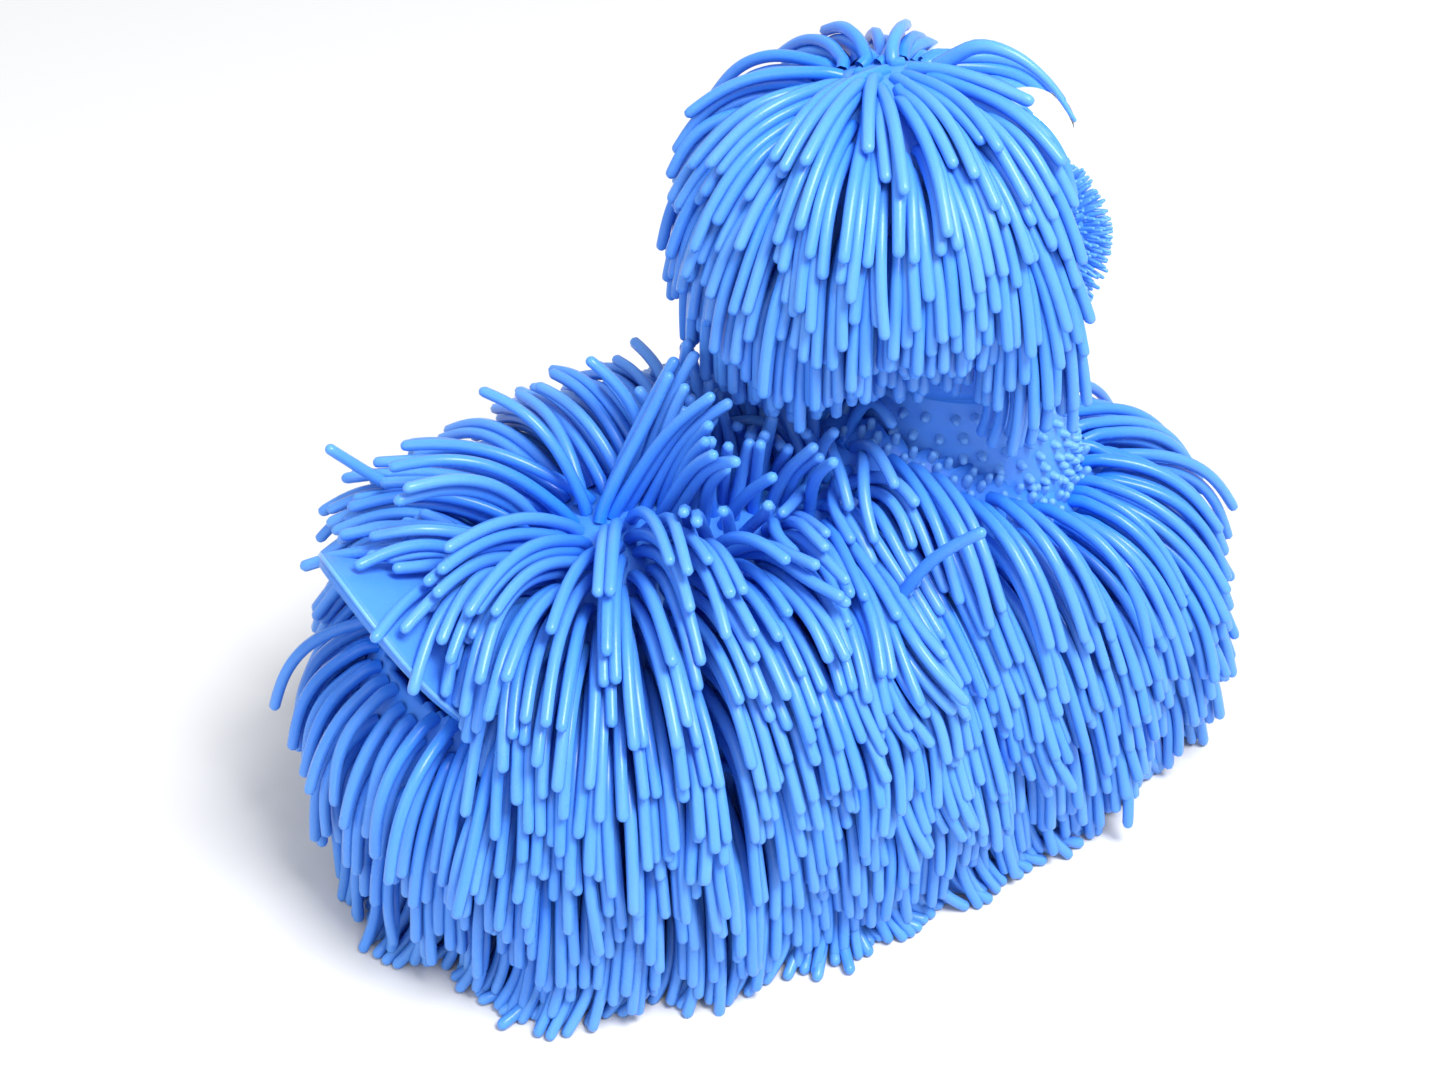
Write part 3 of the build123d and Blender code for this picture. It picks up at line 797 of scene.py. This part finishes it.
def head_skins():
    """The skull, open where the neck and the mouth are, and the throat that joins it to the neck."""
    def outside_neck(p):
        above_mouth = p[:, 2] > LIP_Z + 0.6
        beside_mouth = np.abs(p[:, 1]) > 20.5
        behind_jaw = (p[:, 0] < jaw_low[0]) & (p[:, 2] > SKULL[2] - SKULL_RADIUS * 0.8)
        return above_mouth | beside_mouth | behind_jaw
    points, faces = ball_grid(SKULL, SKULL_RADIUS, outside_neck)
    skin_piece("soft_head_skin", "head_skin", "head", points, faces, 2.4, tone_and_shade=0.3)
    turns = np.linspace(math.radians(84), math.radians(276), 60)
    rise = np.linspace(0, 1, 8)[:, None]
    height = 1 + 13 * smooth_step((math.pi - np.abs(turns - math.pi)) / math.pi * 180, 84, 130)
    grid = neck_point(NECK_LEVELS[-1] - 0.6 + height * rise, turns)
    grid[..., 0] -= 0.25 * height * rise
    skin_piece("soft_throat", None, "head", grid.reshape(-1, 3), grid_faces(8, len(turns), False), 2.0,
               tone_and_shade=0.3)
    turns = np.linspace(0, 2 * math.pi, 97)[:-1]
    reach = np.linspace(1, 0.02, 24)[:, None]
    edge = neck_top(turns)
    bed = neck_point(edge + 0 * reach, turns)
    bed[..., :2] = NECK[:2] + (bed[..., :2] - NECK[:2]) * reach[..., None]
    inner = CHIN_BED_Z + 21 * smooth_step(-bed[..., 0], -(CHIN_BED_X + 5), -(CHIN_BED_X - 5))
    bed[..., 2] = inner + (edge - inner) * reach ** 3
    # The chin bed is painted dark, as painted shade under the chin.
    skin_piece("soft_chin_bed", None, "head", bed.reshape(-1, 3), grid_faces(24, len(turns), True), 1.5,
               tone_and_shade=0.1)


def bristle_field(name, node, body, centre, radius, keep, spacing=2.05, length=3.7):
    """Short thin bristles standing on a ball, a little uneven."""
    found = []
    for polar in np.arange(0.05, math.pi, spacing / radius * 0.87):
        many = max(int(2 * math.pi * radius * math.sin(polar) / spacing), 1)
        turn = (np.arange(many) + rng.uniform(0, 1)) / many * 2 * math.pi
        found.append(np.stack([np.sin(polar) * np.cos(turn), np.sin(polar) * np.sin(turn),
                               np.full(many, math.cos(polar))], -1))
    out = np.concatenate(found)
    out = out[keep(centre + radius * out)]
    tilt = unit(out + rng.normal(0, 0.14, out.shape))
    foot = centre + out * (radius - 0.5)
    reach = length * rng.uniform(0.85, 1.05, len(out))
    lines = foot[:, None] + tilt[:, None] * (reach[:, None] * np.linspace(0, 1, 4))[..., None]
    lines[:, 2:, 2] -= 0.12 * np.arange(1, 3)
    piece = strand_mesh(name, lines, np.full(len(out), 0.52), rng.uniform(0, 0.25, len(out)), strand_rubber,
                        sides=6, taper=0.35)
    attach(piece, body)
    if node:
        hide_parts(node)


def muzzle():
    """Upper and lower halves of the muzzle with their bristles."""
    split = (LIP_Z + lip_low[2]) / 2
    for half, node, body, bristles in (("upper", "muzzle_skin", "head", "muzzle_bristles"),
                                       ("lower", "jaw_skin", "jaw", "chin_bristles")):
        def keep(p, upper=half == "upper"):
            inside = np.linalg.norm(p - SKULL, axis=1) < SKULL_RADIUS - 1
            front = p[:, 0] > jaw_low[0] + 1
            return front & ~inside & ((p[:, 2] > split + 0.3) if upper else (p[:, 2] < split - 0.3))
        points, faces = ball_grid(MUZZLE, MUZZLE_RADIUS, keep)
        skin_piece(f"soft_{node}", node, body, points, faces, 2.0, tone_and_shade=0.35)
        bristle_field(f"soft_{bristles}", bristles, body, MUZZLE, MUZZLE_RADIUS,
                      lambda p, keep=keep: keep(p) & (np.abs(p[:, 2] - split) > 1.6))

    def face(p):
        bare = np.linalg.norm(p - MUZZLE, axis=1) > MUZZLE_RADIUS + 1
        eyes = np.minimum(np.linalg.norm(p - EYE, axis=1), np.linalg.norm(p - EYE * [1, -1, 1], axis=1))
        front = (p[:, 0] > SKULL[0] + 15) & (p[:, 2] > split) & (p[:, 2] < EYE[2] + 4)
        return bare & (eyes > EYE_RADIUS + 0.5) & front
    bristle_field("face_bristles", None, "head", SKULL, SKULL_RADIUS, face, spacing=2.4, length=3.2)


def mouth_inside():
    """The palate and the mouth floor, softly bowed, the fold at the hinge and the rolled lips."""
    turns = np.linspace(0, 2 * math.pi, 73)[:-1]
    for node, body, way in (("palate", "head", 1), ("mouth_floor", "jaw", -1)):
        low, high = box_mm(node)
        reach = np.linspace(0.02, 1, 14)[:, None]
        x = np.maximum(MUZZLE[0] + high[1] * reach * np.cos(turns), low[0])
        y = high[1] * reach * np.sin(turns) + 0 * x
        ridges = 0.12 * np.cos(1.6 * (x - low[0]))
        z = (high[2] if way > 0 else low[2] + 1.3) - 0.25 * way * reach ** 2 + ridges
        # Palate and mouth floor are painted dark, as painted shade inside the mouth.
        skin_piece("soft_" + node, node, body, np.stack([x, y, z], -1).reshape(-1, 3),
                   grid_faces(14, len(turns), True), 1.2, tone_and_shade=0.1)
    low, high = box_mm("mouth_fold")
    middle, half = (low + high) / 2, (high[1] - low[1]) / 2 - 1.5
    across = np.linspace(-half, half, 15)
    line = np.stack([middle[0] + 0 * across, across, middle[2] + 0 * across], -1)
    # The fold is painted dark, as painted shade in the hinge of the mouth.
    fold = strand_mesh("soft_mouth_fold", line[None], np.array([1.45]), np.array([0.0]), skin_rubber,
                       taper=0.0)
    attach(fold, "head")
    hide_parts("mouth_fold")
    for name, body, z in (("lip_upper", "head", lip_low[2] + 0.5), ("lip_lower", "jaw", LIP_Z - 0.5)):
        rim = math.sqrt(MUZZLE_RADIUS ** 2 - (z - MUZZLE[2]) ** 2) - 0.4
        sweep = np.linspace(-1.9, 1.9, 60)
        line = np.stack([MUZZLE[0] + rim * np.cos(sweep), rim * np.sin(sweep), z + 0 * sweep], -1)
        # The lips are painted dark, as painted shade round the mouth's opening.
        lip = strand_mesh(name, line[None], np.array([0.85]), np.array([0.1]), skin_rubber, taper=0.0)
        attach(lip, body)


def long_lock():
    """The one thick strand that arches over the right eye and ends in a point."""
    stops = np.array([(40, 0, 166), (45, -6, 172), (50, -12, 171.5), (54.5, -17.5, 167), (58, -22, 160)])
    line = smooth_line(stops[None], 5)
    lock = strand_mesh("long_lock", line, np.array([1.7]), np.array([0.2]), strand_rubber, taper=0.85)
    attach(lock, "head")


body_skin()
collar_nubs()
mouth_inside()
long_lock()
hand_cuff()
neck_skins()
head_skins()
muzzle()


def plain_gloss(name, colour, roughness, speck):
    """Hard glossy plastic with faint mottling."""
    material, tree, shader = new_material(name)
    noise = tree.nodes.new("ShaderNodeTexNoise")
    noise.inputs["Scale"].default_value = 260
    ramp = tree.nodes.new("ShaderNodeMix")
    ramp.data_type = "RGBA"
    ramp.inputs["A"].default_value = (*colour, 1)
    ramp.inputs["B"].default_value = (*[c * (1 - speck) + 0.01 for c in colour], 1)
    tree.links.new(noise.outputs["Fac"], ramp.inputs["Factor"])
    tree.links.new(ramp.outputs["Result"], shader.inputs["Base Color"])
    shader.inputs["Roughness"].default_value = roughness
    shader.inputs["Coat Weight"].default_value = 0.4
    return material


eye_white = plain_gloss("eye_white", (0.86, 0.86, 0.84), 0.16, 0.06)
pupil_black = plain_gloss("pupil_black", (0.012, 0.012, 0.016), 0.1, 0.3)
for name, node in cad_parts.items():
    if node.hide_render:
        continue
    material = skin_rubber
    if name.startswith("eye"):
        material = eye_white
    elif name.startswith("pupil"):
        material = pupil_black
    node.data.materials.clear()
    node.data.materials.append(material)


# ---- Stage, light and camera ----


def studio_floor():
    """A wide pale floor."""
    material, tree, shader = new_material("studio_white")
    shader.inputs["Base Color"].default_value = (0.66, 0.66, 0.66, 1)
    shader.inputs["Roughness"].default_value = 0.8
    bpy.ops.mesh.primitive_plane_add(size=8)
    floor = bpy.context.object
    floor.name = "studio_floor"
    floor.data.materials.append(material)


def area_light(name, place, target, size, power):
    """A soft square light that faces its target."""
    data = bpy.data.lights.new(name, "AREA")
    data.energy, data.size = power, size
    light = bpy.data.objects.new(name, data)
    light.location = place
    light.rotation_euler = (Vector(target) - Vector(place)).to_track_quat("-Z", "Y").to_euler()
    bpy.context.scene.collection.objects.link(light)


studio_floor()
world = bpy.data.worlds.new("studio")
bpy.context.scene.world = world
world.use_nodes = True
world.node_tree.nodes["Background"].inputs["Color"].default_value = (0.95, 0.97, 1.0, 1)
world.node_tree.nodes["Background"].inputs["Strength"].default_value = 0.78
area_light("key", (0.12, -0.55, 1.05), (0, 0, 0.06), 0.45, 19)
area_light("fill", (-0.9, -0.5, 0.7), (0, 0, 0.06), 0.8, 3)

VIEW_AZIMUTH, VIEW_ELEVATION, VIEW_DISTANCE = -30.0, 37.5, 0.580
VIEW_TARGET = Vector((-0.005, 0.006, 0.062))
azimuth, elevation = math.radians(VIEW_AZIMUTH), math.radians(VIEW_ELEVATION)
back_way = Vector((math.sin(azimuth) * math.cos(elevation), -math.cos(azimuth) * math.cos(elevation),
                   math.sin(elevation)))
camera_data = bpy.data.cameras.new("camera")
camera_data.lens, camera_data.sensor_width = 67.3, 36
camera = bpy.data.objects.new("camera", camera_data)
camera.location = VIEW_TARGET + back_way * VIEW_DISTANCE
camera.rotation_euler = (-back_way).to_track_quat("-Z", "Y").to_euler()
bpy.context.scene.collection.objects.link(camera)
bpy.context.scene.camera = camera
bpy.context.scene.view_settings.view_transform = "Standard"
